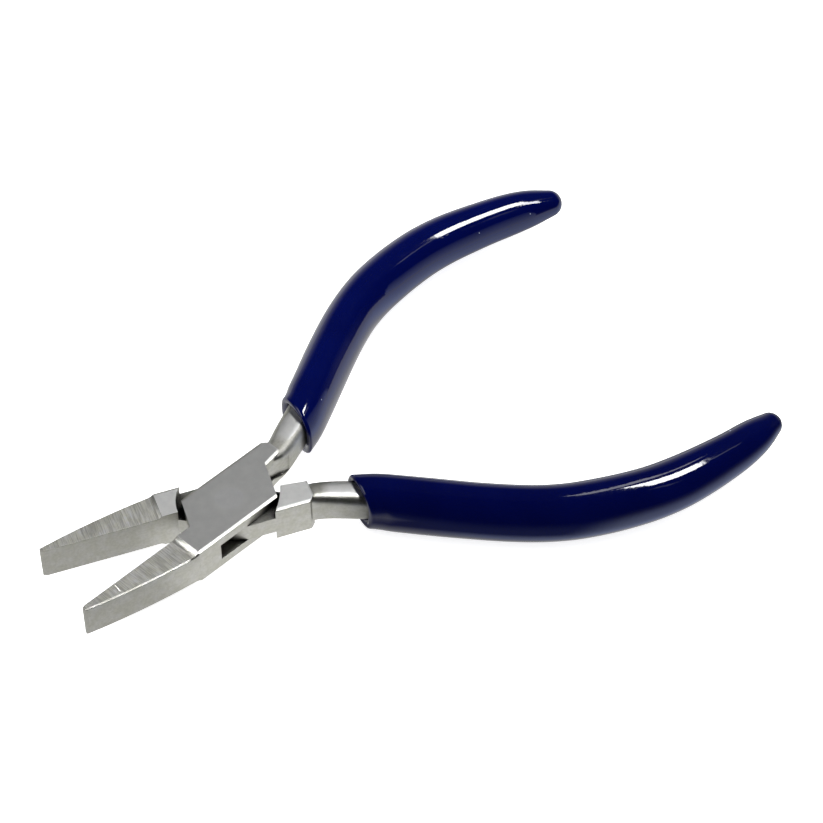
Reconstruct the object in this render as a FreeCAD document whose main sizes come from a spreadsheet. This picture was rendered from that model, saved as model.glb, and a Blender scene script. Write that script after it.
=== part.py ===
# Flat nose pliers with a box joint and two sleeved handles, half open.
#
# Millimetres, +Z up along the pivot axis, jaws towards -X, handles towards +X.
# The origin is where the pivot axis meets the underside of the box joint.
# Each half is drawn closed, about its own middle plane, and its Placement
# turns it about the pivot to the open pose.
#
#   box_half      slotted half: jaw on -Y, two cheeks, handle on +Y
#   tongue_half   half that passes through the slot: jaw on +Y, handle on -Y
#   pivot_pin     rivet through both, ending level with the cheeks
#   grip_box, grip_tongue   vinyl sleeves over the two handle tangs
#
# "side" is +1 for the half whose handle is on +Y and -1 for the other.
import FreeCAD, Part
import Sketcher
import math
import os
from FreeCAD import Vector, Placement, Rotation

# ---------------------------------------------------------------- sizes
SIZES = {
    "half_open": 12.5,                  # turn of each half from closed, degrees
    # box joint, with its cheeks and heel
    "box_halfwidth": 5.7, "box_halfthick": 3.6,
    "face_gap": 0.015,                  # closed gap between jaw faces, per side
    "shoulder_x": 12.0,                 # pivot to the step between box and jaw
    "cheek_corner_x": 6.05, "cheek_root_x": 9.6, "cheek_root_y": 1.0,
    "cheek_nose_x": 9.1,
    "heel_end_x": 13.8, "heel_in_y": 1.8, "heel_out_y": 4.5, "heel_x": 12.8,
    # slot in the box half
    "slot_halfheight": 1.75, "slot_clearance": 0.04,
    "slot_reach_y": 6.6, "slot_wall_x": 7.0, "slot_front_x": 9.3,
    "slot_rear_x": 9.4, "slot_rear_y": 2.3,
    "runout_x": 15.1, "runout_y": 1.25,
    # tongue
    "tongue_flat_x": 1.5, "tongue_knee_x": 1.0, "tongue_knee_y": 5.1,
    "tongue_neck_x": 9.3, "tongue_neck_y": 0.3,
    "tongue_deep_x": 10.6, "tongue_deep_y": 0.55,
    # full-thickness blocks in front of and behind the tongue
    "relief_r": 9.2, "relief_corner_x": 7.222,
    "block_in_x": 9.15, "block_in_y": 0.3, "block_out_x": 6.45,
    "block_arc_r": 16.0, "block_heel_in_y": 1.0,
    # jaws
    "jaw_reach": 33.6, "nose_in_x": 32.9, "nose_in_y": 0.3,
    "nose_out_y": 0.75, "nose_side_x": 33.2, "nose_side_y": 1.1,
    "jaw_side_r": 150.0, "jaw_halfthick": 3.15,
    # step down from box to jaw: run along X and hollow radius
    "box_step_run": 1.2, "box_step_r": 2.1,
    "tongue_step_run": 0.9, "tongue_step_r": 1.3,
    "step_clear_x": 35.0, "step_clear_z": 4.2,      # far corner of the cut
    # pivot
    "pin_r": 2.5, "bore_clearance": 0.05, "pin_edge": 0.04,
    # edge chamfers: run is across the top or bottom face, drop is down the side
    "edge_run": 0.55, "edge_drop": 0.22, "jaw_break": 0.2,
    # sleeves
    "sleeve_fit": 0.06, "sleeve_lift": 0.35,
    "sleeve_round_ratio": 0.86,         # corner radius over the smaller half size
    "mouth_box_in_x": 19.08, "mouth_box_in_y": -5.63,
    "mouth_box_out_x": 24.28, "mouth_box_out_y": 17.81,
    "mouth_tongue_in_x": 20.43, "mouth_tongue_in_y": -6.04,
    "mouth_tongue_out_x": 22.15, "mouth_tongue_out_y": 17.90,
    "mouth_clear_x": 8.0,
}

# Sizes the spreadsheet works out from the others.
DERIVED = {
    "tongue_halfthick": "=slot_halfheight - slot_clearance",
    "bore_r": "=pin_r + bore_clearance",
    "box_step_x": "=shoulder_x + box_step_run",
    "tongue_step_x": "=shoulder_x + tongue_step_run",
}

# Handle tang sections, drawn closed with the handle on +Y: centre x and y,
# heading in degrees, width in plan, height along Z, corner radius, height of
# the centre above the middle plane.
TANG_COLUMNS = ("x", "y", "turn", "width", "height", "round", "lift")
TANG = [
    (11.2, 3.45, 14.0, 4.2, 6.3, 0.5, 0.0),
    (14.4, 3.22, 18.0, 4.4, 6.1, 1.1, 0.36),
    (17.5, 4.30, 23.5, 4.9, 5.8, 1.25, 0.66),
    (21.0, 5.75, 25.0, 5.2, 5.7, 1.4, 0.72),
    (28.2, 9.10, 26.5, 5.3, 5.9, 1.9, 0.58),
    (40.5, 15.60, 25.5, 5.4, 6.4, 2.2, 0.42),
    (55.5, 21.00, 11.0, 5.6, 6.2, 2.4, 0.35),
    (71.5, 21.60, -6.5, 5.4, 5.2, 2.2, 0.35),
    (82.0, 19.40, -16.0, 4.0, 4.0, 1.6, 0.35),
    (88.0, 17.40, -20.0, 3.0, 3.0, 1.2, 0.35),
]

# Sleeve sections, drawn the same way: centre x and y, heading in degrees,
# half width in plan, half height along Z.
SLEEVE_COLUMNS = ("x", "y", "turn", "halfwidth", "halfheight")
SLEEVE = [
    (17.5, 4.34, 24.5, 3.98, 4.60),
    (20.95, 5.95, 25.0, 4.05, 4.75),
    (23.8, 7.15, 25.5, 4.17, 5.10),
    (28.2, 9.25, 27.0, 4.28, 5.35),
    (34.35, 12.50, 28.0, 4.43, 5.43),
    (40.55, 15.70, 26.0, 4.49, 5.43),
    (47.85, 18.95, 20.5, 4.50, 5.40),
    (55.5, 21.05, 11.0, 4.67, 5.20),
    (63.5, 21.90, 2.5, 4.80, 4.90),
    (71.5, 21.70, -6.0, 4.77, 4.60),
    (79.3, 20.25, -14.0, 4.45, 4.30),
    (87.0, 17.90, -20.5, 3.92, 3.85),
    (92.3, 15.30, -33.0, 3.30, 3.15),
    (94.7, 13.30, -45.0, 2.45, 2.35),
    (95.7, 12.20, -50.0, 1.30, 1.25),
]

UP = Vector(0, 0, 1)


# ---------------------------------------------------------------- spreadsheet
def sheet_cells():
    """Alias and cell content of every size.  Each station of a tang or sleeve
    ends up with x, y, turn, halfwidth, halfheight, round and lift."""
    cells = {alias: repr(float(number)) for alias, number in SIZES.items()}
    cells.update(DERIVED)
    for i, row in enumerate(TANG, start=1):
        station = "tang_%d" % i
        for column, number in zip(TANG_COLUMNS, row):
            cells[station + "_" + column] = repr(float(number))
        cells[station + "_halfwidth"] = "=%s_width / 2" % station
        cells[station + "_halfheight"] = "=%s_height / 2" % station
    for i, row in enumerate(SLEEVE, start=1):
        station = "sleeve_%d" % i
        for column, number in zip(SLEEVE_COLUMNS, row):
            cells[station + "_" + column] = repr(float(number))
        smaller = "halfwidth" if row[3] <= row[4] else "halfheight"
        cells[station + "_round"] = "=sleeve_round_ratio * %s_%s" % (station, smaller)
        cells[station + "_lift"] = "=sleeve_lift"
    return cells


def fill_sheet():
    """Write the Sizes sheet and return the value of every alias."""
    sheet = doc.addObject("Spreadsheet::Sheet", "Sizes")
    cells = sheet_cells()
    for row, (alias, content) in enumerate(cells.items(), start=1):
        sheet.set("A%d" % row, alias)
        sheet.set("B%d" % row, content)
        sheet.setAlias("B%d" % row, alias)
    doc.recompute()
    return {alias: float(sheet.get(alias)) for alias in cells}


doc = FreeCAD.newDocument("FlatNosePliers")
size = fill_sheet()


# ---------------------------------------------------------------- terms
# A term is an alias, an alias with a leading minus, or 0 for a point on an axis.
def term_value(term):
    if term == 0:
        return 0.0
    return -size[term[1:]] if term[0] == "-" else size[term]


def term_formula(term):
    return "-Sizes." + term[1:] if term[0] == "-" else "Sizes." + term


def signed(term, side):
    """The term, negated when side is -1."""
    if side > 0:
        return term
    return term[1:] if term[0] == "-" else "-" + term


def mirrored(points, side):
    """Points with their y terms negated when side is -1."""
    return [(x, signed(y, side)) for x, y in points]


# ---------------------------------------------------------------- sketches
def new_body(name, label):
    body = doc.addObject("PartDesign::Body", name)
    body.Label = label
    return body


def new_sketch(body, name, role):
    sketch = body.newObject("Sketcher::SketchObject", name)
    plane = next(f for f in body.Origin.OriginFeatures if f.Role == role)
    sketch.AttachmentSupport = [(plane, "")]
    sketch.MapMode = "FlatFace"
    return sketch


def dimension(sketch, kind, target, value, formula):
    """Add a dimension driven by a formula on the sheet."""
    index = sketch.addConstraint(Sketcher.Constraint(kind, *target, value))
    sketch.setExpression("Constraints[%d]" % index, formula)


def arc_between(start, end, radius, side):
    """Arc whose centre lies left of the travel for side +1, right for -1."""
    chord = end - start
    left = Vector(-chord.y, chord.x, 0).normalize()
    offset = math.sqrt(radius ** 2 - (chord.Length / 2) ** 2)
    centre = (start + end) * 0.5 + left * (side * offset)
    first, last = (start, end) if side > 0 else (end, start)
    first_angle = math.atan2(first.y - centre.y, first.x - centre.x)
    last_angle = math.atan2(last.y - centre.y, last.x - centre.x)
    if last_angle < first_angle:
        last_angle += 2 * math.pi
    return Part.ArcOfCircle(Part.Circle(centre, UP, radius), first_angle, last_angle)


def outline(sketch, points, arcs=None):
    """Closed outline through points, given as pairs of terms.  arcs maps the
    index of a segment to (radius term, side of its centre)."""
    arcs = arcs or {}
    corners = [Vector(term_value(x), term_value(y), 0) for x, y in points]
    ends = []           # geometry index, start vertex, end vertex
    for i, start in enumerate(corners):
        end = corners[(i + 1) % len(corners)]
        vertices = (1, 2)
        if i in arcs:
            radius, side = arcs[i]
            curve = arc_between(start, end, term_value(radius), side)
            if side < 0:
                vertices = (2, 1)
        else:
            curve = Part.LineSegment(start, end)
        ends.append((sketch.addGeometry(curve, False),) + vertices)
    for i, (curve, _, last) in enumerate(ends):
        following, first, _ = ends[(i + 1) % len(ends)]
        sketch.addConstraint(Sketcher.Constraint("Coincident", curve, last, following, first))
    for (curve, first, _), (x, y) in zip(ends, points):
        for kind, term, axis in (("DistanceX", x, -2), ("DistanceY", y, -1)):
            if term == 0:
                sketch.addConstraint(Sketcher.Constraint("PointOnObject", curve, first, axis))
            else:
                dimension(sketch, kind, (-1, 1, curve, first),
                          term_value(term), term_formula(term))
    for i, (radius, _) in arcs.items():
        dimension(sketch, "Radius", (ends[i][0],), term_value(radius), term_formula(radius))


def pivot_circle(body, name, radius):
    """Sketch of a circle about the pivot axis."""
    sketch = new_sketch(body, name, "XY_Plane")
    circle = sketch.addGeometry(Part.Circle(Vector(0, 0, 0), UP, size[radius]), False)
    sketch.addConstraint(Sketcher.Constraint("Coincident", circle, 3, -1, 1))
    dimension(sketch, "Radius", (circle,), size[radius], term_formula(radius))
    return sketch


def section(body, name, station, side, fit):
    """Rounded rectangle square to the handle's run at a station, grown all
    round by the alias fit when one is given."""
    sketch = new_sketch(body, name, "YZ_Plane")
    x, y, lift = station + "_x", station + "_y", station + "_lift"
    sketch.AttachmentOffset = Placement(
        Vector(side * size[y], size[lift], size[x]),
        Rotation(Vector(0, 1, 0), side * size[station + "_turn"]))
    for axis, term in (("x", signed(y, side)), ("y", lift), ("z", x)):
        sketch.setExpression(".AttachmentOffset.Base." + axis, term_formula(term))

    growth = size[fit] if fit else 0.0
    growth_formula = "+Sizes." + fit if fit else ""
    a, b, r = (size[station + part] + growth for part in ("_halfwidth", "_halfheight", "_round"))
    line_ends = [Vector(-a + r, -b), Vector(a - r, -b), Vector(a, -b + r), Vector(a, b - r),
                 Vector(a - r, b), Vector(-a + r, b), Vector(-a, b - r), Vector(-a, -b + r)]
    centres = [Vector(a - r, -b + r), Vector(a - r, b - r),
               Vector(-a + r, b - r), Vector(-a + r, -b + r)]
    curves = []         # lines at even places, corner arcs at odd ones
    for k, centre in enumerate(centres):
        line = Part.LineSegment(line_ends[2 * k], line_ends[2 * k + 1])
        arc = Part.ArcOfCircle(Part.Circle(centre, UP, r),
                               (k - 1) * math.pi / 2, k * math.pi / 2)
        curves.append(sketch.addGeometry(line, False))
        curves.append(sketch.addGeometry(arc, False))
    for k in range(8):
        sketch.addConstraint(
            Sketcher.Constraint("Tangent", curves[k], 2, curves[(k + 1) % 8], 1))
    for kind, lines in (("Horizontal", (0, 4)), ("Vertical", (2, 6))):
        for k in lines:
            sketch.addConstraint(Sketcher.Constraint(kind, curves[k]))
    for k in (3, 5, 7):
        sketch.addConstraint(Sketcher.Constraint("Equal", curves[1], curves[k]))
    for kind, target, value, sign, part in (
            ("Radius", (curves[1],), r, "", "_round"),
            ("DistanceX", (-1, 1, curves[2], 1), a, "", "_halfwidth"),
            ("DistanceX", (-1, 1, curves[6], 1), -a, "-", "_halfwidth"),
            ("DistanceY", (-1, 1, curves[4], 1), b, "", "_halfheight"),
            ("DistanceY", (-1, 1, curves[0], 1), -b, "-", "_halfheight")):
        formula = "%s(Sizes.%s%s)" % (sign, station + part, growth_formula)
        dimension(sketch, kind, target, value, formula)
    return sketch


# ---------------------------------------------------------------- features
def extrude(body, kind, sketch, name, length):
    """Pad or pocket reaching equally to both sides of the sketch plane."""
    feature = body.newObject("PartDesign::" + kind, name)
    feature.Profile = sketch
    # The property that makes an extrusion symmetric depends on the version.
    if hasattr(feature, "SideType"):
        feature.SideType = "Symmetric"
    else:
        feature.Midplane = True
    feature.setExpression("Length", length)
    sketch.Visibility = False
    doc.recompute()


def pad(body, sketch, name, length):
    extrude(body, "Pad", sketch, name, length)


def pocket(body, sketch, name, length):
    before = body.Shape.Volume
    extrude(body, "Pocket", sketch, name, length)
    if not body.Shape.Volume < before - 1e-6:
        raise RuntimeError(name + " removed nothing")


def loft(body, kind, name, section_name, run, side, fit=None):
    """Loft through every station of a run, "tang" or "sleeve"."""
    count = len(TANG if run == "tang" else SLEEVE)
    sections = [section(body, "%s%d" % (section_name, i), "%s_%d" % (run, i), side, fit)
                for i in range(1, count + 1)]
    feature = body.newObject("PartDesign::" + kind, name)
    feature.Profile = sections[0]
    feature.Sections = [(sketch, [""]) for sketch in sections[1:]]
    feature.Ruled = False
    for sketch in sections:
        sketch.Visibility = False
    doc.recompute()


def edges_where(shape, test):
    return ["Edge%d" % i for i, edge in enumerate(shape.Edges, start=1) if test(edge)]


def chamfer(body, name, width, test):
    """Even chamfer on all the edges that pass test."""
    base = body.Tip
    names = edges_where(base.Shape, test)
    if not names:
        raise RuntimeError(name + " found no edges")
    feature = body.newObject("PartDesign::Chamfer", name)
    feature.Base = (base, names)
    feature.setExpression("Size", "Sizes." + width)
    doc.recompute()


def tilt(face, point):
    """Size of the Z part of the face's normal near point."""
    return abs(face.normalAt(*face.Surface.parameter(point)).z)


def is_shallow(shape, point):
    """True when the sloping face nearest point leans towards flat."""
    def distance(face):
        if 0.3 < tilt(face, point) < 0.999:
            return face.distToShape(Part.Vertex(point))[0]
        return 1e9
    return tilt(min(shape.Faces, key=distance), point) > 0.8


def slope_edges(body, name, test):
    """Shallow chamfer on each edge that passes test, one feature per edge:
    edge_run across the top or bottom face, edge_drop down the side."""
    count = len(edges_where(body.Tip.Shape, test))
    if not count:
        raise RuntimeError(name + " found no edges")
    for _ in range(count):
        base = body.Tip
        names = edges_where(base.Shape, test)
        if not names:
            break
        edge = base.Shape.getElement(names[0])
        middle = edge.valueAt(0.5 * (edge.FirstParameter + edge.LastParameter))
        feature = body.newObject("PartDesign::Chamfer", name)
        feature.Base = (base, names[:1])
        feature.ChamferType = "Two distances"
        feature.setExpression("Size", "Sizes.edge_run")
        feature.setExpression("Size2", "Sizes.edge_drop")
        # Which face takes the first distance varies from edge to edge.
        for turned in (False, True):
            feature.FlipDirection = turned
            doc.recompute()
            if not feature.Shape.isNull() and is_shallow(feature.Shape, middle):
                break
        else:
            raise RuntimeError(name + " slope is the wrong way round")


def place(body, side):
    """Lift the body's middle plane off the underside and turn it open."""
    body.Placement = Placement(Vector(0, 0, size["box_halfthick"]),
                               Rotation(UP, side * size["half_open"]))
    body.setExpression(".Placement.Base.z", "Sizes.box_halfthick")


# ---------------------------------------------------------------- edge tests
def on_box_face(bounds):
    """Flat along the top or bottom face of the box joint."""
    return (abs(abs(bounds.ZMin) - size["box_halfthick"]) < 1e-4
            and abs(bounds.ZMax - bounds.ZMin) < 1e-5)


def side_edge(edge, min_length):
    """Straight along X at the full width of the box joint."""
    bounds = edge.BoundBox
    return (on_box_face(bounds) and abs(bounds.YMax - bounds.YMin) < 1e-5
            and abs(abs(bounds.YMin) - size["box_halfwidth"]) < 1e-4
            and bounds.XMax - bounds.XMin > min_length)


def ridge_edge(edge):
    """From the cheek root back to the heel."""
    bounds = edge.BoundBox
    return (on_box_face(bounds) and abs(bounds.XMin - size["cheek_root_x"]) < 1e-3
            and bounds.YMin > size["cheek_root_y"] - 1e-3
            and bounds.XMax - bounds.XMin > 2)


def jaw_side_edge(edge):
    """Long outer edge of the jaw's top or bottom."""
    bounds = edge.BoundBox
    return (bounds.XMax < -size["shoulder_x"] + 1e-3 and bounds.XMax - bounds.XMin > 10
            and abs(bounds.ZMax - bounds.ZMin) < 1e-4
            and abs(abs(bounds.ZMin) - size["jaw_halfthick"]) < 1e-3
            and max(abs(bounds.YMin), abs(bounds.YMax)) > 1.5)


# ---------------------------------------------------------------- shared by both halves
def add_jaw(body, side):
    """Tapered jaw: flat gripping face by the middle line, curved outer side."""
    sketch = new_sketch(body, "JawOutline", "XY_Plane")
    outline(sketch, mirrored([
        ("-shoulder_x", "-face_gap"), ("-nose_in_x", "-face_gap"),
        ("-jaw_reach", "-nose_in_y"), ("-jaw_reach", "-nose_out_y"),
        ("-nose_side_x", "-nose_side_y"), ("-shoulder_x", "-box_halfwidth")], side),
        {4: ("jaw_side_r", side)})
    pad(body, sketch, "Jaw", "2*Sizes.box_halfthick")


def cut_jaw_step(body, step_x, step_r):
    """Bring the jaw's top and bottom below the box faces, with a hollow step
    at the shoulder."""
    sketch = new_sketch(body, "JawStep", "XZ_Plane")
    for face in (1, -1):
        outline(sketch, mirrored([
            ("-shoulder_x", "box_halfthick"), ("-" + step_x, "jaw_halfthick"),
            ("-step_clear_x", "jaw_halfthick"), ("-step_clear_x", "step_clear_z"),
            ("-shoulder_x", "step_clear_z")], face),
            {0: (step_r, -face)})
    pocket(body, sketch, "JawFaces", "4*Sizes.box_halfwidth")


def cut_bore(body, radius):
    sketch = pivot_circle(body, "BoreCircle", radius)
    pocket(body, sketch, "PivotBore", "4*Sizes.box_halfthick")


# ---------------------------------------------------------------- pieces
def make_box_half():
    body = new_body("BoxHalf", "box_half")
    sketch = new_sketch(body, "BoxOutline", "XY_Plane")
    outline(sketch, [
        ("-shoulder_x", "-box_halfwidth"), ("cheek_corner_x", "-box_halfwidth"),
        ("cheek_root_x", "cheek_root_y"), ("heel_end_x", "heel_in_y"),
        ("heel_end_x", "heel_out_y"), ("heel_x", "box_halfwidth"),
        ("-cheek_corner_x", "box_halfwidth"), ("-cheek_nose_x", "-face_gap"),
        ("-shoulder_x", "-face_gap")])
    pad(body, sketch, "BoxBlock", "2*Sizes.box_halfthick")
    add_jaw(body, 1)
    loft(body, "AdditiveLoft", "HandleTang", "Tang", "tang", 1)
    cut_jaw_step(body, "box_step_x", "box_step_r")
    # The slot runs through both sides, and runs out along the handle's inner face.
    sketch = new_sketch(body, "SlotOutline", "XY_Plane")
    outline(sketch, [
        ("-slot_wall_x", "-slot_reach_y"), ("runout_x", "-slot_reach_y"),
        ("runout_x", "runout_y"), ("slot_rear_x", "slot_rear_y"),
        ("slot_wall_x", "slot_reach_y"), ("-slot_front_x", "slot_reach_y"),
        ("-slot_front_x", 0)])
    pocket(body, sketch, "Slot", "2*Sizes.slot_halfheight")
    cut_bore(body, "pin_r")
    slope_edges(body, "EdgeBreak", lambda edge: side_edge(edge, 3) or ridge_edge(edge))
    chamfer(body, "JawBreak", "jaw_break", jaw_side_edge)
    place(body, 1)
    return body


def make_tongue_half():
    body = new_body("TongueHalf", "tongue_half")
    sketch = new_sketch(body, "TongueOutline", "XY_Plane")
    outline(sketch, mirrored([
        ("-tongue_deep_x", "-face_gap"), ("-tongue_deep_x", "-box_halfwidth"),
        ("-tongue_flat_x", "-box_halfwidth"), ("tongue_knee_x", "-tongue_knee_y"),
        ("tongue_neck_x", "tongue_neck_y"), ("tongue_deep_x", "tongue_deep_y"),
        ("tongue_deep_x", "box_halfwidth"), ("tongue_flat_x", "box_halfwidth"),
        ("-tongue_knee_x", "tongue_knee_y"), ("-tongue_neck_x", "-face_gap")], -1))
    pad(body, sketch, "Tongue", "2*Sizes.tongue_halfthick")
    sketch = new_sketch(body, "FrontBlockOutline", "XY_Plane")
    outline(sketch, mirrored([
        ("-shoulder_x", "-face_gap"), ("-shoulder_x", "-box_halfwidth"),
        ("-relief_corner_x", "-box_halfwidth"), ("-relief_r", "-face_gap")], -1),
        {2: ("relief_r", 1)})
    pad(body, sketch, "FrontBlock", "2*Sizes.box_halfthick")
    sketch = new_sketch(body, "RearBlockOutline", "XY_Plane")
    outline(sketch, mirrored([
        ("block_in_x", "block_in_y"), ("heel_end_x", "block_heel_in_y"),
        ("heel_end_x", "heel_out_y"), ("heel_x", "box_halfwidth"),
        ("block_out_x", "box_halfwidth")], -1),
        {4: ("block_arc_r", 1)})
    pad(body, sketch, "RearBlock", "2*Sizes.box_halfthick")
    add_jaw(body, -1)
    loft(body, "AdditiveLoft", "HandleTang", "Tang", "tang", -1)
    cut_jaw_step(body, "tongue_step_x", "tongue_step_r")
    cut_bore(body, "bore_r")
    slope_edges(body, "EdgeBreak", lambda edge: side_edge(edge, 2))
    chamfer(body, "JawBreak", "jaw_break", jaw_side_edge)
    place(body, -1)
    return body


def make_pin():
    body = new_body("PivotPin", "pivot_pin")
    sketch = pivot_circle(body, "PinCircle", "pin_r")
    pad(body, sketch, "PinShank", "2*Sizes.box_halfthick")
    chamfer(body, "PinEdge", "pin_edge",
            lambda edge: edge.Curve.TypeId == "Part::GeomCircle")
    place(body, 1)
    return body


def make_grip(name, label, mouth, side):
    body = new_body(name, label)
    loft(body, "AdditiveLoft", "SleeveBody", "Sleeve", "sleeve", side)
    # The mouth is cut slantwise, longer on the side facing the other handle.
    sketch = new_sketch(body, "MouthLine", "XY_Plane")
    outline(sketch, mirrored([
        (mouth + "_in_x", mouth + "_in_y"), (mouth + "_out_x", mouth + "_out_y"),
        ("mouth_clear_x", mouth + "_out_y"), ("mouth_clear_x", mouth + "_in_y")], side))
    pocket(body, sketch, "Mouth", "4*Sizes.box_halfthick")
    # The socket follows the tang, each section larger by the fit.
    before = body.Shape.Volume
    loft(body, "SubtractiveLoft", "Socket", "Socket", "tang", side, "sleeve_fit")
    if not body.Shape.Volume < before - 1:
        raise RuntimeError(label + ": socket removed nothing")
    place(body, side)
    return body


# ---------------------------------------------------------------- build and export
parts = [
    make_box_half(),
    make_tongue_half(),
    make_pin(),
    make_grip("GripBox", "grip_box", "mouth_box", 1),
    make_grip("GripTongue", "grip_tongue", "mouth_tongue", -1),
]
doc.recompute()

failed = [item.Name + " " + str(item.State) for item in doc.Objects
          if "Invalid" in item.State or "Error" in item.State]
if failed:
    raise RuntimeError("failed objects: " + ", ".join(failed))
for part in parts:
    if part.Shape.isNull() or not part.Shape.isValid() or len(part.Shape.Solids) != 1:
        raise RuntimeError(part.Label + " is not one valid solid")

os.makedirs("parts", exist_ok=True)
for part in parts:
    part.Shape.exportStep("parts/%s.step" % part.Label)
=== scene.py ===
"""Slip of steel pliers with two navy dipped-vinyl sleeves, lying open on white paper.

The rivet is on the z axis, the jaws point to -x and the handles to +x.  The
box half's handle lies on the +y side, the tongue half's on the -y side,
nearer the camera.  Sleeve sizes are in millimetres; the stage is in metres.
"""
import math
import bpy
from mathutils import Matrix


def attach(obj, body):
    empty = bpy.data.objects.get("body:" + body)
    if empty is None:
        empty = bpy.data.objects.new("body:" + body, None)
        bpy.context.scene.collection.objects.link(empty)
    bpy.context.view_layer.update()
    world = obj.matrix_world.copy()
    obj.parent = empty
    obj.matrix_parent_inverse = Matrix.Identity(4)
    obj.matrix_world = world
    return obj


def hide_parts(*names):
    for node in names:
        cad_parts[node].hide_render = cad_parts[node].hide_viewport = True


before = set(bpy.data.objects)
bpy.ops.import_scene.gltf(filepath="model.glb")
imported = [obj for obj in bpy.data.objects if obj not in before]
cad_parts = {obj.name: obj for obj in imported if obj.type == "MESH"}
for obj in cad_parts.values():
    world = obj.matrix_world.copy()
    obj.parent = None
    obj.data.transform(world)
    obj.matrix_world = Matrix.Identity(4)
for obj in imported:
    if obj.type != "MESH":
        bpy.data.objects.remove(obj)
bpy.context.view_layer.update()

from types import SimpleNamespace

import bmesh
import bpy
import numpy as np
from mathutils import Matrix, Vector

MM = 0.001
MID = 3.6                        # height of the pliers' middle plane, mm
HALF_OPEN = math.radians(12.5)   # each half is turned this far from closed
scene = bpy.context.scene


# ------------------------------------------------------------------ curves
def catmull(table, count):
    """Centripetal Catmull-Rom curve through the rows of table.

    Returns the run and count rows evenly spaced along it; the run is measured
    in the first two columns.
    """
    points = np.asarray(table, float)
    points = np.vstack([2 * points[0] - points[1], points, 2 * points[-1] - points[-2]])
    curve = []
    for i in range(1, len(points) - 2):
        near = points[i - 1:i + 3]
        knots = [0.0]
        for start, end in zip(near, near[1:]):
            knots.append(knots[-1] + max(1e-6, np.linalg.norm((end - start)[:2])) ** 0.5)

        def between(first, last, start, end):
            span = knots[last] - knots[first]
            return (knots[last] - u) / span * start + (u - knots[first]) / span * end

        for u in np.linspace(knots[1], knots[2], 24, endpoint=False):
            legs = [between(k, k + 1, near[k], near[k + 1]) for k in range(3)]
            bends = [between(k, k + 2, legs[k], legs[k + 1]) for k in range(2)]
            curve.append(between(1, 2, *bends))
    curve.append(points[-2])
    curve = np.array(curve)
    steps = np.linalg.norm(np.diff(curve[:, :2], axis=0), axis=1)
    curve_run = np.concatenate([[0], np.cumsum(steps)])
    run = np.linspace(0, curve_run[-1], count)
    columns = [np.interp(run, curve_run, column) for column in curve.T]
    return run, np.stack(columns, 1)


def headings(run, points):
    """Unit direction in plan at every point of a curve."""
    slopes = np.gradient(points[:, :2], run, axis=0)
    return slopes / np.linalg.norm(slopes, axis=1)[:, None]


def rounded_rect(angle, half_width, half_height, corner):
    """Distance from the centre to a rounded rectangle in direction angle."""
    cos, sin = abs(math.cos(angle)), abs(math.sin(angle))
    reach = half_width / max(cos, 1e-9)
    if reach * sin <= half_height - corner:
        return reach
    reach = half_height / max(sin, 1e-9)
    if reach * cos <= half_width - corner:
        return reach
    x, y = half_width - corner, half_height - corner
    middle = cos * x + sin * y
    return middle + math.sqrt(max(0.0, middle * middle - (x * x + y * y - corner * corner)))


def skin(name, rings):
    """Closed smooth object from rings of equal length; the ends close on a point."""
    count = len(rings[0])
    last = (len(rings) - 1) * count
    verts = [tuple(point) for ring in rings for point in ring]
    start_tip = len(verts)
    verts += [tuple(np.mean(rings[0], 0)), tuple(np.mean(rings[-1], 0))]
    faces = []
    for low in range(0, last, count):
        high = low + count
        for j in range(count):
            k = (j + 1) % count
            faces.append((low + j, low + k, high + k, high + j))
    faces += [(start_tip, (j + 1) % count, j) for j in range(count)]
    faces += [(start_tip + 1, last + j, last + (j + 1) % count) for j in range(count)]
    mesh = bpy.data.meshes.new(name)
    mesh.from_pydata(verts, [], faces)
    mesh.validate()
    mesh.update()
    for face in mesh.polygons:
        face.use_smooth = True
    body = bpy.data.objects.new(name, mesh)
    scene.collection.objects.link(body)
    # turn every face outwards
    edit = bmesh.new()
    edit.from_mesh(mesh)
    bmesh.ops.recalc_face_normals(edit, faces=edit.faces)
    edit.to_mesh(mesh)
    edit.free()
    return body


# ------------------------------------------------------------------ sleeves
# Stations of each sleeve in the open rest pose, mouth to tip, mm:
# x, y (towards its own side), half width in plan, half height.
SLEEVE_A = [
    (19.76, 10.76, 4.27, 4.95), (22.30, 12.51, 4.32, 5.30), (25.40, 15.02, 4.33, 5.45),
    (28.47, 17.59, 4.37, 5.46), (32.27, 20.84, 4.45, 5.35), (36.13, 24.02, 4.48, 5.29),
    (40.10, 27.06, 4.47, 5.32), (44.26, 29.84, 4.46, 5.33), (48.68, 32.16, 4.60, 5.16),
    (53.35, 33.94, 4.76, 4.89), (58.14, 35.36, 4.80, 4.70), (63.03, 36.40, 4.79, 4.53),
    (68.01, 36.86, 4.73, 4.37), (73.00, 36.77, 4.54, 4.23), (77.00, 36.52, 4.32, 4.09),
    (80.98, 36.13, 4.14, 3.96), (83.95, 35.74, 3.94, 3.73), (86.86, 35.19, 3.53, 3.37),
    (90.92, 34.22, 2.50, 2.44)]
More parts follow.
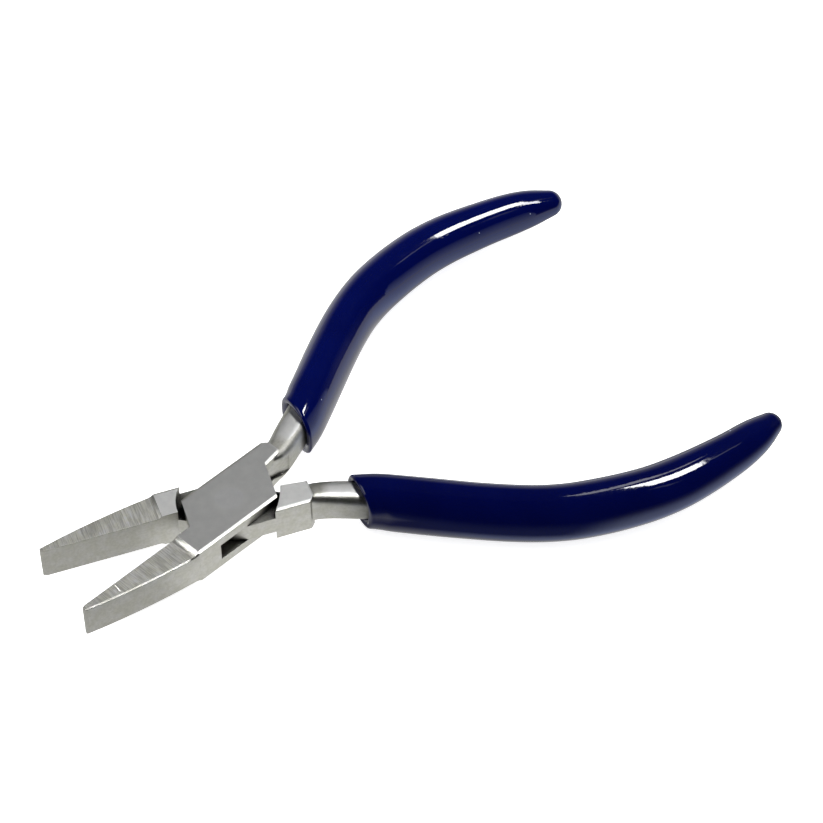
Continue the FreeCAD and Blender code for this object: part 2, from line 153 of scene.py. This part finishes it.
SLEEVE_B = [
    (19.50, 10.40, 4.15, 4.75), (22.62, 12.55, 4.38, 5.12), (25.68, 15.12, 4.47, 5.22),
    (28.71, 17.74, 4.56, 5.26), (32.50, 21.00, 4.64, 5.26), (36.34, 24.20, 4.67, 5.26),
    (40.29, 27.27, 4.67, 5.27), (44.41, 30.10, 4.68, 5.24), (48.82, 32.46, 4.79, 5.15),
    (53.48, 34.24, 4.88, 5.02), (58.27, 35.67, 4.85, 4.88), (63.16, 36.72, 4.82, 4.66),
    (68.13, 37.20, 4.75, 4.41), (73.13, 37.21, 4.45, 4.24), (77.13, 37.01, 4.16, 4.05),
    (81.11, 36.65, 3.87, 3.74), (84.08, 36.15, 3.63, 3.43), (86.90, 35.62, 3.22, 3.00),
    (90.54, 34.82, 2.21, 2.11)]
# Tang run inside the sleeve, in the closed frame of one half, mm: x, y, half
# width, half height, corner radius, height of the centre above the middle plane.
TANG = [
    (14.4, 3.22, 2.20, 3.05, 1.1, 0.36), (17.5, 4.30, 2.45, 2.90, 1.25, 0.66),
    (21.0, 5.75, 2.60, 2.85, 1.4, 0.72), (28.2, 9.10, 2.65, 2.95, 1.9, 0.58),
    (40.5, 15.60, 2.70, 3.20, 2.2, 0.42), (55.5, 21.00, 2.80, 3.10, 2.4, 0.35),
    (71.5, 21.60, 2.70, 2.60, 2.2, 0.35), (82.0, 19.40, 2.00, 2.00, 1.6, 0.35),
    (88.0, 17.40, 1.50, 1.50, 1.2, 0.35)]

LIFT = 0.35             # the sleeves ride this much above the middle plane, mm
LIP = 0.62              # radius of the rolled edge, mm
SLANT_RUN = 10.0        # the mouth's slant dies out over this run, mm
N_LENGTH, N_AROUND, N_TANG, N_LIP, N_TIP = 230, 96, 160, 10, 20
SMOOTHINGS = 10
MOUTH_POWER = 2.35      # superellipse power of the section at the mouth
POWER_DROP, POWER_RUN = 0.30, 20.0   # how far it falls, over what run in mm
TIP_POWER = 2.05
TIP_BACK = 8            # the taper into the tip is read from this station, from the end


def slant_left(run):
    """Share of the mouth's slant left at a run from the mouth."""
    left = min(1.0, max(0.0, 1.0 - run / SLANT_RUN))
    return left * left * (3 - 2 * left)


def build_sleeve(name, table, side, slant):
    """Dipped sleeve: blind socket over the tang, rolled mouth, outside wall and
    rounded tip in one closed skin.  side is the sign of its y; slant is the
    angle of the mouth off square, degrees."""
    run, stations = catmull(table, N_LENGTH)
    for _ in range(SMOOTHINGS):
        stations[1:-1] = 0.25 * stations[:-2] + 0.5 * stations[1:-1] + 0.25 * stations[2:]
    heading = headings(run, stations)
    around = np.linspace(0, 2 * math.pi, N_AROUND, endpoint=False)
    slope = math.tan(math.radians(slant))

    def place(centre, ahead_dir, across, ahead, height):
        x = centre[0] - ahead_dir[1] * across + ahead_dir[0] * ahead
        y = centre[1] + ahead_dir[0] * across + ahead_dir[1] * ahead
        return (x * MM, side * y * MM, height * MM)

    def oval(centre, ahead_dir, half_width, half_height, power, shift=0.0, lean=0.0):
        """Superellipse ring; shift moves it ahead, lean is its share of the slant."""
        ring = []
        for angle in around:
            cos, sin = math.cos(angle), math.sin(angle)
            reach = (abs(cos) ** power + abs(sin) ** power) ** (-1 / power)
            across = half_width * reach * cos
            ring.append(place(centre, ahead_dir, across, shift + across * slope * lean,
                              MID + LIFT + half_height * reach * sin))
        return ring

    # socket: from its blind end out to the mouth, following the opened tang
    cos, sin = math.cos(HALF_OPEN), math.sin(HALF_OPEN)
    tang_run, tang = catmull(
        [(x * cos - y * sin, x * sin + y * cos, *section) for x, y, *section in TANG], N_TANG)
    mouth, mouth_dir = stations[0, :2], heading[0]
    rings = []
    for row, ahead_dir in reversed(list(zip(tang, headings(tang_run, tang)))):
        centre, lift = row[:2], row[5]
        depth = (centre - mouth) @ mouth_dir
        if depth <= LIP:
            continue
        half_width, half_height, corner = row[2:5] + 0.04 + 0.06 * min(1.0, depth / 4.0)
        corner = min(corner, half_width, half_height) * 0.999
        offset = (-mouth_dir[1] * (centre[0] - mouth[0])
                  + mouth_dir[0] * (centre[1] - mouth[1]))
        ring = []
        for angle in around:
            reach = rounded_rect(angle, half_width, half_height, corner)
            across = reach * math.cos(angle)
            ahead = (across + offset) * slope * slant_left(depth)
            ring.append(place(centre, ahead_dir, across, ahead,
                              MID + lift + reach * math.sin(angle)))
        rings.append(ring)

    # rolled mouth: the edge turns from the socket wall to the outside
    inner = np.array(rings[-1])
    outer = np.array(oval(mouth + mouth_dir * LIP, mouth_dir, *stations[0, 2:4],
                          MOUTH_POWER, lean=1.0))
    normal = np.array([mouth_dir[0] + mouth_dir[1] * slope,
                       mouth_dir[1] - mouth_dir[0] * slope])
    normal /= np.linalg.norm(normal)
    into_sleeve = np.array([normal[0], side * normal[1], 0.0])
    for step in range(1, N_LIP):
        angle = step / N_LIP * math.pi
        share = 0.5 - 0.5 * math.cos(angle)
        rings.append(inner * (1 - share) + outer * share
                     - into_sleeve * math.sin(angle) * LIP * MM)

    # outside wall
    for at, row, ahead_dir in zip(run, stations, heading):
        if at >= LIP * 1.02:
            power = MOUTH_POWER - POWER_DROP * min(1.0, at / POWER_RUN)
            rings.append(oval(row[:2], ahead_dir, row[2], row[3], power,
                              lean=slant_left(at - LIP)))

    # rounded tip, starting at the taper of the wall
    half_width, half_height = stations[-1, 2:4]
    taper = math.atan((stations[-TIP_BACK, 2] - half_width) / (run[-1] - run[-TIP_BACK]))
    radius = 0.5 * (half_width + half_height) / math.cos(taper)
    for step in range(1, N_TIP):
        angle = taper + step / N_TIP * (math.pi / 2 - taper)
        shrink = math.cos(angle) / math.cos(taper)
        rings.append(oval(stations[-1, :2], heading[-1], half_width * shrink,
                          half_height * shrink, TIP_POWER,
                          shift=radius * (math.sin(angle) - math.sin(taper))))
    return skin(name, rings)


grip_a = build_sleeve("sleeve_box_side", SLEEVE_A, side=1, slant=37.0)
grip_b = build_sleeve("sleeve_tongue_side", SLEEVE_B, side=-1, slant=29.0)
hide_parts("grip_box")
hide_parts("grip_tongue")
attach(grip_a, "box_side")
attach(grip_b, "tongue_side")


# ------------------------------------------------------------------ shader trees
MIX_SOCKETS = {"FLOAT": (2, 3, 0), "VECTOR": (4, 5, 1), "RGBA": (6, 7, 2)}  # a, b, result


class Signal:
    """Output socket of a shader tree that can be used in arithmetic."""

    def __init__(self, tree, socket):
        self.tree = tree
        self.socket = socket

    def __add__(self, other):
        return self.tree.math("ADD", self, other)

    def __radd__(self, other):
        return self.tree.math("ADD", other, self)

    def __sub__(self, other):
        return self.tree.math("SUBTRACT", self, other)

    def __rsub__(self, other):
        return self.tree.math("SUBTRACT", other, self)

    def __mul__(self, other):
        return self.tree.math("MULTIPLY", self, other)

    def __truediv__(self, other):
        return self.tree.math("DIVIDE", self, other)

    def max(self, other):
        return self.tree.math("MAXIMUM", self, other)

    def above(self, limit):
        return self.tree.math("GREATER_THAN", self, limit)

    def abs(self):
        return self.tree.math("ABSOLUTE", self)

    def sign(self):
        return self.tree.math("SIGN", self)

    def sqrt(self):
        return self.tree.math("SQRT", self)

    def ramp(self, over, to=(0.0, 1.0), kind="SMOOTHSTEP"):
        """Value going from to[0] to to[1] while this one goes over[0] to over[1]."""
        return self.tree.add("ShaderNodeMapRange", dict(enumerate((self, *over, *to))),
                             interpolation_type=kind)

    def mix(self, off, on, kind="FLOAT"):
        """off where this signal is 0, on where it is 1."""
        first, second, result = MIX_SOCKETS[kind]
        return self.tree.add("ShaderNodeMix", {0: self, first: off, second: on},
                             output=result, data_type=kind)

    def noise(self, scale, detail=3.0, rough=0.5):
        return self.tree.add("ShaderNodeTexNoise", {
            "Vector": self, "Scale": scale, "Detail": detail, "Roughness": rough})

    def split(self):
        node = self.tree.node("ShaderNodeSeparateXYZ", {0: self})
        return [Signal(self.tree, socket) for socket in node.outputs]

    def scale(self, factor):
        return self.tree.add("ShaderNodeVectorMath", {0: self, "Scale": factor},
                             operation="SCALE")

    def plus(self, vector):
        return self.tree.add("ShaderNodeVectorMath", {0: self, 1: vector}, operation="ADD")

    def normalize(self):
        return self.tree.add("ShaderNodeVectorMath", {0: self}, operation="NORMALIZE")

    def dot(self, vector):
        return self.tree.add("ShaderNodeVectorMath", {0: self, 1: tuple(vector)},
                             output="Value", operation="DOT_PRODUCT")


class ShaderTree:
    """Node tree of a material or world, emptied and built up again."""

    def __init__(self, owner):
        owner.use_nodes = True
        self.tree = owner.node_tree
        self.tree.nodes.clear()

    def node(self, kind, inputs=None, **settings):
        """New node; inputs maps its sockets to signals or plain values."""
        node = self.tree.nodes.new(kind)
        for key, value in settings.items():
            setattr(node, key, value)
        for key, value in (inputs or {}).items():
            if isinstance(value, Signal):
                self.tree.links.new(value.socket, node.inputs[key])
            else:
                node.inputs[key].default_value = value
        return node

    def add(self, kind, inputs=None, output=0, **settings):
        """New node, returned as the signal of one of its outputs."""
        return Signal(self, self.node(kind, inputs, **settings).outputs[output])

    def math(self, operation, first, second=0.0, clamp=False):
        return self.add("ShaderNodeMath", {0: first, 1: second, 2: 0.0},
                        operation=operation, use_clamp=clamp)

    def combine(self, x, y, z):
        return self.add("ShaderNodeCombineXYZ", {0: x, 1: y, 2: z})

    def place(self):
        return self.add("ShaderNodeTexCoord", output="Object")

    def geometry(self, output):
        return self.add("ShaderNodeNewGeometry", output=output)

    def emission(self, strength, colour=(1, 1, 1, 1)):
        return self.add("ShaderNodeEmission", {"Color": colour, "Strength": strength})

    def choose(self, factor, off, on):
        return self.add("ShaderNodeMixShader", {0: factor, 1: off, 2: on})


def hypot(x, y):
    return (x * x + y * y).sqrt()


def new_material(name):
    material = bpy.data.materials.new(name)
    return material, ShaderTree(material)


def finish_principled(tree, inputs):
    shader = tree.add("ShaderNodeBsdfPrincipled", inputs)
    tree.node("ShaderNodeOutputMaterial", {0: shader})


# ------------------------------------------------------------------ steel
def steel_zones(tree, turn):
    """Position in the half's closed frame, mm, and masks of its surfaces."""
    def turned(vector):
        return tree.add("ShaderNodeVectorRotate", {"Vector": vector, "Angle": turn},
                        rotation_type="Z_AXIS")

    position = turned(tree.place()).scale(1 / MM)
    x, y, z = position.split()
    normal = tree.add("ShaderNodeVectorTransform", {0: tree.geometry("True Normal")},
                      vector_type="NORMAL", convert_from="WORLD", convert_to="OBJECT")
    normal_z = turned(normal).split()[2]
    height = (z - MID).abs()
    radius = hypot(x, y)
    rivet = radius.ramp(over=(4.2, 3.9)) * height.ramp(over=(3.30, 3.40))
    level = normal_z.abs().ramp(over=(0.85, 0.95)).max(rivet)
    return SimpleNamespace(
        position=position, x=x, y=y, z=z, normal_z=normal_z, radius=radius, rivet=rivet,
        plate=(level * height.ramp(over=(3.47, 3.55))).max(rivet),   # full-height faces
        jaw_top=level * x.ramp(over=(-11.8, -12.3)),
        shaft=x.ramp(over=(13.2, 14.0)))


def steel_marks(tree, zone):
    """Noises of the finish: cross runs across the jaws, along follows the sides."""
    def streaks(stretch, detail, rough):
        axes = (zone.x * stretch[0], zone.y * stretch[1], zone.z * stretch[2])
        return tree.combine(*axes).noise(scale=1.0, detail=detail, rough=rough)

    return SimpleNamespace(
        cross=streaks(stretch=(6.0, 0.25, 0.25), detail=4.0, rough=0.66),
        broad_cross=streaks(stretch=(1.6, 0.25, 0.3), detail=3.0, rough=0.6),
        along=streaks(stretch=(0.35, 9.0, 9.0), detail=4.0, rough=0.6),
        grain=zone.position.noise(scale=16.0, rough=0.6),
        fine=zone.position.noise(scale=42.0, detail=2.0, rough=0.6),
        blotch=zone.position.noise(scale=0.55, rough=0.55),
        mottle=zone.position.noise(scale=1.9, rough=0.6))


def steel_colour(tree, zone, mark, base, shaft_painted_light, face_painted_light):
    def tinted(*tint):
        return (*(channel * share for channel, share in zip(base, tint)), 1)

    side = mark.blotch.ramp(over=(0.35, 0.7)).mix(
        tinted(1.00, 1.00, 0.97), tinted(1.10, 1.10, 1.13), kind="RGBA")
    plate = mark.blotch.ramp(over=(0.3, 0.75)).mix(
        tinted(0.93, 0.94, 1.0), tinted(1.0, 1.01, 1.07), kind="RGBA")
    colour = zone.plate.mix(side, plate, kind="RGBA")
    lines = (mark.cross.ramp(over=(0.36, 0.64), to=(1.45, 2.05))
             * mark.broad_cross.ramp(over=(0.3, 0.7), to=(0.92, 1.08)))
    # slightly lighter round the rivet, with a ragged edge
    halo = (zone.radius + mark.blotch * 1.6).ramp(over=(4.6, 3.2), to=(1.0, 1.05))
    brushed = (mark.along.ramp(over=(0.32, 0.68), to=(0.95, 1.05))
               * mark.mottle.ramp(over=(0.35, 0.65), to=(0.95, 1.06)))
    bright = zone.jaw_top.mix(zone.plate.mix(brushed, halo), lines)
    # painted light: the shaft and the full-height faces are made lighter or darker, by a
    # different amount on each half
    bright = bright * zone.shaft.mix(1.0, shaft_painted_light)
    bright = bright * zone.plate.mix(1.0, face_painted_light)
    bright = bright * mark.grain.ramp(over=(0.3, 0.7), to=(0.97, 1.03))
    # painted shade: corners and gaps darken, less so on the shaft and not at all on the faces
    openness = tree.add("ShaderNodeAmbientOcclusion", {"Distance": 0.0030},
                        output="AO", samples=8)
    shade = zone.shaft.mix(openness.ramp(over=(0.34, 0.86), to=(0.02, 1.0)),
                           openness.ramp(over=(0.0, 0.55), to=(0.50, 1.0)))
    return colour.scale(bright * zone.plate.mix(shade, 1.0))


def steel_roughness(zone, mark, shaft_rough, face_rough):
    rough = zone.plate.mix(
        mark.along.ramp(over=(0.3, 0.7), to=(0.36, 0.44)),
        mark.grain.ramp(over=(0.3, 0.7), to=(face_rough - 0.03, face_rough + 0.03)))
    rough = zone.jaw_top.mix(rough, mark.cross.ramp(over=(0.3, 0.7), to=(0.42, 0.54)))
    return zone.shaft.mix(rough, mark.grain.ramp(
        over=(0.35, 0.65), to=(shaft_rough - 0.08, shaft_rough + 0.08)))


def steel_relief(zone, mark):
    """Height of the bump: each surface weighs the marks differently."""
    relief = zone.plate.mix(mark.along * 0.6 + mark.grain * 0.4,
                            mark.fine * 0.7 + mark.blotch * 0.3)
    relief = zone.jaw_top.mix(relief, mark.cross * 0.9 + mark.broad_cross * 0.3)
    return zone.shaft.mix(relief, mark.cross * 1.0 + mark.grain * 0.25)


def scratched(tree, zone, normal, scratch):
    """Normal tipped over along one scratch (x0, y0, x1, y1, half width)."""
    x_start, y_start, x_end, y_end, width = scratch
    x_run, y_run = x_end - x_start, y_end - y_start
    x_from, y_from = zone.x - x_start, zone.y - y_start
    share = tree.math("DIVIDE", x_from * x_run + y_from * y_run,
                      x_run * x_run + y_run * y_run, clamp=True)
    away = hypot(x_from - share * x_run, y_from - share * y_run)
    hit = away.ramp(over=(width * 1.6, width * 0.7)) * zone.z.above(MID + 3.0)
    return hit.mix(normal, (0.05, -0.32, 0.94), kind="VECTOR").normalize()


def steel_normal(tree, zone, mark, turn, shaft_lean, wear):
    rounded = tree.add("ShaderNodeBevel", {"Radius": zone.shaft.mix(0.00014, 0.0015)},
                       samples=8)
    # the broken edges of the jaws are rolled over towards the top
    tilt = zone.normal_z.abs()
    edge = (tilt.ramp(over=(0.50, 0.60)) * tilt.ramp(over=(0.90, 0.80))
            * zone.x.ramp(over=(-13.6, -14.2)))
    roll = tree.combine(0.0, 0.0, edge * zone.normal_z.sign() * 1.2)
    # hand-ground shaft: dips towards the sleeve
    lean = zone.shaft * shaft_lean
    bearing = -turn - math.copysign(math.radians(20), turn)
    dip = tree.combine(lean * math.cos(bearing), lean * math.sin(bearing), 0.0)
    normal = rounded.plus(roll.plus(dip)).normalize()
    # the riveted head is ground off flush and only just shows
    flat = tree.combine(0.0, 0.0, (zone.z - MID).sign())
    normal = (zone.rivet * 0.9).mix(normal, flat, kind="VECTOR").normalize()
    for scratch in wear:
        normal = scratched(tree, zone, normal, scratch)
    return tree.add("ShaderNodeBump", {
        "Strength": 0.35, "Distance": 0.00004, "Normal": normal,
        "Height": steel_relief(zone, mark)})


def steel(name, turn, base=(0.47, 0.467, 0.435), shaft_painted_light=1.0, shaft_rough=0.35,
          shaft_lean=0.0, face_painted_light=1.5, face_rough=0.49, wear=()):
    """Ground and brushed tool steel.

    turn brings the open pose back to the half's own closed frame, so every
    finish runs true to that half.  shaft_lean tips the shaft lengthwise, face
    is the full-height top and bottom, and wear lists scratches on the top.
    The colour gains of the shaft and of the faces are painted light: they
    lighten or darken those surfaces by a different amount on each half.
    """
    material, tree = new_material(name)
    zone = steel_zones(tree, turn)
    mark = steel_marks(tree, zone)
    finish_principled(tree, {
        "Base Color": steel_colour(tree, zone, mark, base, shaft_painted_light, face_painted_light),
        "Metallic": 1.0,
        "Roughness": steel_roughness(zone, mark, shaft_rough, face_rough),
        "Normal": steel_normal(tree, zone, mark, turn, shaft_lean, wear)})
    return material


# ------------------------------------------------------------------ vinyl
def vinyl(name, blue, green):
    """Glossy dipped vinyl; blue and green set the navy of the body colour."""
    material, tree = new_material(name)
    position = tree.place().scale(1 / MM)
    cloud = position.noise(scale=0.12)
    colour = cloud.ramp(over=(0.3, 0.7)).mix(
        (0.0001, green, blue, 1), (0.0002, green * 1.3, blue * 1.15, 1), kind="RGBA")
    # a few specks of dust
    spacing = tree.add("ShaderNodeTexVoronoi",
                       {"Vector": position, "Scale": 0.21, "Randomness": 1.0},
                       output="Distance", feature="F1")
    speck = spacing.ramp(over=(0.050, 0.034))
    # orange peel and a finer texture
    peel = position.noise(scale=0.9, rough=0.45)
    micro = position.noise(scale=14.0, detail=2.0)
    finish_principled(tree, {
        "Base Color": (speck * 0.8).mix(colour, (0.30, 0.34, 0.45, 1), kind="RGBA"),
        "Roughness": peel.ramp(over=(0.35, 0.7), to=(0.035, 0.075)) + speck * 0.3,
        "IOR": 1.52,
        "Specular IOR Level": 0.5,
        "Normal": tree.add("ShaderNodeBump", {
            "Strength": 0.05, "Distance": 0.0002, "Height": peel * 1.0 + micro * 0.03})})
    return material


# Scratches on the box half, closed frame, mm: x0, y0, x1, y1, half width.
BOX_WEAR = [(-32.05, -1.30, -31.85, -1.45, 0.16), (-26.43, -0.35, -26.75, -2.15, 0.05)]

# the halves share one steel; their shaft and face colour gains differ as painted light
steel_a = steel("ground_steel_box", -HALF_OPEN, shaft_painted_light=1.25, shaft_rough=0.58,
                wear=BOX_WEAR)
steel_b = steel("ground_steel_tongue", HALF_OPEN, shaft_painted_light=0.88, shaft_rough=0.43,
                shaft_lean=0.19, face_painted_light=2.0, face_rough=0.58)
steel_pin = steel("pin_steel", -HALF_OPEN, base=(0.475, 0.472, 0.445))
# the two sleeves share one navy: the box sleeve's lighter copy is painted light, the tongue
# sleeve's darker copy painted shade
navy_lit_box = vinyl("navy_vinyl_box_lit", blue=0.050, green=0.0017)
navy_shaded_tongue = vinyl("navy_vinyl_tongue_shaded", blue=0.036, green=0.0012)

for body, material in ((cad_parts["box_half"], steel_a),
                       (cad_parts["tongue_half"], steel_b),
                       (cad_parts["pivot_pin"], steel_pin),
                       (grip_a, navy_lit_box),
                       (grip_b, navy_shaded_tongue)):
    body.data.materials.clear()
    body.data.materials.append(material)

# A fine ground edge on the two halves.
EDGE_WIDTH = 0.07       # mm
for part in ("box_half", "tongue_half"):
    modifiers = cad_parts[part].modifiers
    weld = modifiers.new("Weld", "WELD")
    weld.merge_threshold = 0.000002
    bevel = modifiers.new("Edge", "BEVEL")
    bevel.width = EDGE_WIDTH * MM
    bevel.segments = 2
    bevel.limit_method = "ANGLE"
    bevel.angle_limit = math.radians(28)
    bevel.harden_normals = False

# ------------------------------------------------------------------ floor
FLOOR_Z = -0.00166
FLOOR_HALF = 6
# Strength of the floor as the steel and vinyl reflect it.
FLOOR_JAW, FLOOR_BOX, FLOOR_FAR = 0.70, 1.05, 0.86


def panel(name, corners):
    mesh = bpy.data.meshes.new(name)
    mesh.from_pydata([tuple(corner) for corner in corners], [], [(0, 1, 2, 3)])
    body = bpy.data.objects.new(name, mesh)
    scene.collection.objects.link(body)
    return body


def floor_reflection(tree):
    """What the pliers see of the table in reflection: white paper round the
    jaws and the far handle, falling into shade by the near handle."""
    x, y, _ = tree.place().split()
    # from the floor back to the pliers
    back_x, back_y, back_z = tree.geometry("Incoming").split()
    near = back_z.ramp(over=(0.05, 0.68), to=(0.06, 0.85))
    near = near * back_x.ramp(over=(0.25, -0.15), to=(0.14, 1.0)).max(
        back_z.ramp(over=(0.75, 1.0), to=(0.0, 0.8)))
    far = back_z.ramp(over=(0.70, 0.98), to=(FLOOR_FAR, 0.5))
    handles = y.ramp(over=(-0.010, 0.004)).mix(near, far)
    head = x.ramp(over=(-0.010, -0.018)).mix(FLOOR_BOX, FLOOR_JAW)
    by_handles = x.ramp(over=(0.012, 0.019)).max(y.ramp(over=(-0.016, -0.028)))
    blue = (x.ramp(over=(0.024, 0.034)).max(y.ramp(over=(-0.020, -0.030)))
            * (back_z.ramp(over=(0.08, 0.45)) * back_y.ramp(over=(-0.15, 0.25))))
    return tree.emission(by_handles.mix(head, handles),
                         blue.mix((1.0, 1.0, 0.98, 1), (1.0, 1.14, 1.60, 1), kind="RGBA"))


def floor_paper():
    material, tree = new_material("floor_paper")
    ray = tree.node("ShaderNodeLightPath")
    paper = tree.add("ShaderNodeBsdfDiffuse", {"Color": (0.93, 0.93, 0.93, 1)})
    seen = tree.add("ShaderNodeAddShader", {0: paper, 1: tree.emission(strength=0.80)})
    shader = tree.choose(Signal(tree, ray.outputs["Is Glossy Ray"]),
                         seen, floor_reflection(tree))
    shader = tree.choose(Signal(tree, ray.outputs["Is Diffuse Ray"]),
                         shader, tree.emission(strength=1.2))
    tree.node("ShaderNodeOutputMaterial", {0: shader})
    return material


floor = panel("floor", [(x * FLOOR_HALF, y * FLOOR_HALF, FLOOR_Z)
                        for x, y in ((-1, -1), (1, -1), (1, 1), (-1, 1))])
floor.data.materials.append(floor_paper())


# ------------------------------------------------------------------ cards
def card(name, corners, shine):
    """Flat light seen only in reflections.  shine(tree) gives its emission and
    the masks that limit where it shows."""
    body = panel(name, corners)
    material, tree = new_material(name)
    emission, masks = shine(tree)
    show = tree.add("ShaderNodeLightPath", output="Is Glossy Ray")
    for mask in masks:
        show = show * mask
    clear = tree.add("ShaderNodeBsdfTransparent")
    tree.node("ShaderNodeOutputMaterial", {0: tree.choose(show, clear, emission)})
    body.data.materials.append(material)
    body.visible_camera = False
    body.visible_diffuse = False
    body.visible_shadow = False


def between_shine(tree):
    """One-sided bluish light, fading from the card's foot to its top."""
    z = tree.place().split()[2]
    strength = z.ramp(over=(CARD_TOP, CARD_FOOT), to=(0.10, 0.75), kind="LINEAR")
    return (tree.emission(strength, colour=(1.0, 1.12, 1.5, 1)),
            [1.0 - tree.geometry("Backfacing")])


def strip_shine(strength, area):
    """White light flagged to the part (x0, x1, y0, y1) of the pliers."""
    soft, pliers_z = 0.001, 0.007

    def shine(tree):
        # follow the ray back to the height of the pliers
        x, y, z = tree.place().split()
        back_x, back_y, back_z = tree.geometry("Incoming").split()
        run = (z - pliers_z) / (back_z * -1.0).max(0.02)
        masks = []
        for value, low, high in ((x + back_x * run, *area[:2]), (y + back_y * run, *area[2:])):
            masks += [value.ramp(over=(low - soft, low + soft)),
                      value.ramp(over=(high + soft, high - soft))]
        return tree.emission(strength), masks
    return shine


def unit(azimuth, elevation):
    """Unit vector towards an azimuth from +x and an elevation, degrees."""
    turn, rise = math.radians(azimuth), math.radians(elevation)
    return Vector((math.cos(rise) * math.cos(turn), math.cos(rise) * math.sin(turn),
                   math.sin(rise)))


# white card standing between the handles, lighting the far one from below
CARD_FOOT, CARD_TOP = FLOOR_Z + 0.0001, 0.024
card("card_between", [(0.030, 0.0, CARD_TOP), (0.100, 0.0, CARD_TOP),
                      (0.100, 0.0, CARD_FOOT), (0.030, 0.0, CARD_FOOT)], between_shine)

STRIP_DISTANCE = 0.3
# Ceiling strips: name, target, (azimuth, elevation) of each corner seen from
# the target, strength, area of the pliers lit (x0, x1, y0, y1).
STRIPS = [
    ("strip_near", (0.058, -0.036, 0.008), ((33, 70), (34, 49), (43, 49), (45, 70)),
     3.6, (0.02, 0.1, -0.1, -0.006)),
    ("strip_tip", (0.080, 0.036, 0.008), ((-8, 60), (-12, 51), (-33, 44), (-26, 58)),
     20.0, (0.066, 0.1, 0.02, 0.06)),
    ("strip_step", (-0.013, -0.005, 0.007), ((118, 66), (118, 48), (146, 48), (146, 66)),
     34.0, (-0.03, -0.004, -0.02, 0.002)),
    ("strip_block", (0.011, -0.006, 0.007), ((-60, 80), (-50, 66), (10, 66), (30, 80)),
     14.0, (0.004, 0.0165, -0.02, -0.001)),
]
for name, target, corners, strength, area in STRIPS:
    card(name, [Vector(target) + STRIP_DISTANCE * unit(*corner) for corner in corners],
         strip_shine(strength, area))

# ------------------------------------------------------------------ world
# Soft boxes: azimuth, elevation, half width, half height, soft edge (all in
# degrees), strength.
SOFTBOXES = [
    (3.0, 63.8, 8.5, 4.6, 0.6, 28.0),       # key, high over the handles
    (-4.0, 54.0, 1.2, 4.5, 0.8, 1.4),       # its dim lower lip
    (-47.0, 57.0, 1.8, 4.0, 1.0, 0.6),
    (150.0, 40.0, 16.0, 13.0, 4.0, 2.2),    # wall at the jaw end
]


def softbox(direction, azimuth, elevation, *sizes):
    """Mask of a rectangular light; sizes are half width, half height, edge."""
    centre = unit(azimuth, elevation)
    across = centre.cross(Vector((0, 0, 1))).normalized()
    upward = across.cross(centre).normalized()
    facing = direction.dot(centre)
    half_width, half_height, edge = (math.tan(math.radians(size)) for size in sizes)
    masks = [(direction.dot(axis) / facing).abs().ramp(over=(half + edge, half - edge))
             for axis, half in ((across, half_width), (upward, half_height))]
    return masks[0] * masks[1] * facing.above(0.05)


def build_world():
    """Soft light from above and beyond the pliers for matt surfaces, a dark
    studio with soft boxes for reflections."""
    world = bpy.data.worlds.new("studio")
    scene.world = world
    tree = ShaderTree(world)
    direction = tree.add("ShaderNodeTexCoord", output="Generated").normalize()
    rise = direction.split()[2]
    level = (1.0 - rise * rise).max(1e-4).sqrt()
    # low glow on the side beyond the pliers
    beyond = direction.dot(unit(52, 0)) / level
    studio = 0.010 + (beyond.ramp(over=(0.35, 0.85))
                      * rise.ramp(over=(-0.05, 0.50), to=(0.55, 0.015)))
    for *box, strength in SOFTBOXES:
        studio = studio + softbox(direction, *box) * strength
    soft = direction.dot((0.30, 0.50, 0.81)).max(0.0) * 1.25 + 0.32
    glossy, matt = (tree.add("ShaderNodeBackground",
                             {"Color": (1, 1, 1, 1), "Strength": strength})
                    for strength in (studio, soft))
    diffuse_ray = tree.add("ShaderNodeLightPath", output="Is Diffuse Ray")
    tree.node("ShaderNodeOutputWorld", {0: tree.choose(diffuse_ray, glossy, matt)})


build_world()
scene.view_settings.view_transform = "Standard"
scene.view_settings.look = "None"

# ------------------------------------------------------------------ camera
BEARING = math.radians(31.91)       # heading in plan, from +y towards +x
PITCH = math.radians(46.27)         # looking down
ROLL = math.radians(-1.098)
ANCHOR = Vector((17.535, -0.1575, 3.95))    # a point in view, mm
# The anchor as the camera has it: right of, below and ahead of the lens, mm.
ANCHOR_RIGHT, ANCHOR_DOWN, ANCHOR_AHEAD = -16.480526, 10.223868, 525.0

level_right = Vector((math.cos(BEARING), -math.sin(BEARING), 0))
level_ahead = Vector((math.sin(BEARING), math.cos(BEARING), 0))
ahead = level_ahead * math.cos(PITCH) - Vector((0, 0, 1)) * math.sin(PITCH)
square_down = ahead.cross(level_right)
right = level_right * math.cos(ROLL) - square_down * math.sin(ROLL)
down = level_right * math.sin(ROLL) + square_down * math.cos(ROLL)
eye = (ANCHOR - right * ANCHOR_RIGHT - down * ANCHOR_DOWN - ahead * ANCHOR_AHEAD) * MM

lens = bpy.data.cameras.new("camera")
camera = bpy.data.objects.new("camera", lens)
scene.collection.objects.link(camera)
axes = Matrix((right, -down, -ahead)).transposed()
camera.matrix_world = Matrix.Translation(eye) @ axes.to_4x4()
lens.sensor_width = 36.0
lens.lens = 131.402187
lens.clip_start = 0.01
lens.clip_end = 50.0
scene.camera = camera
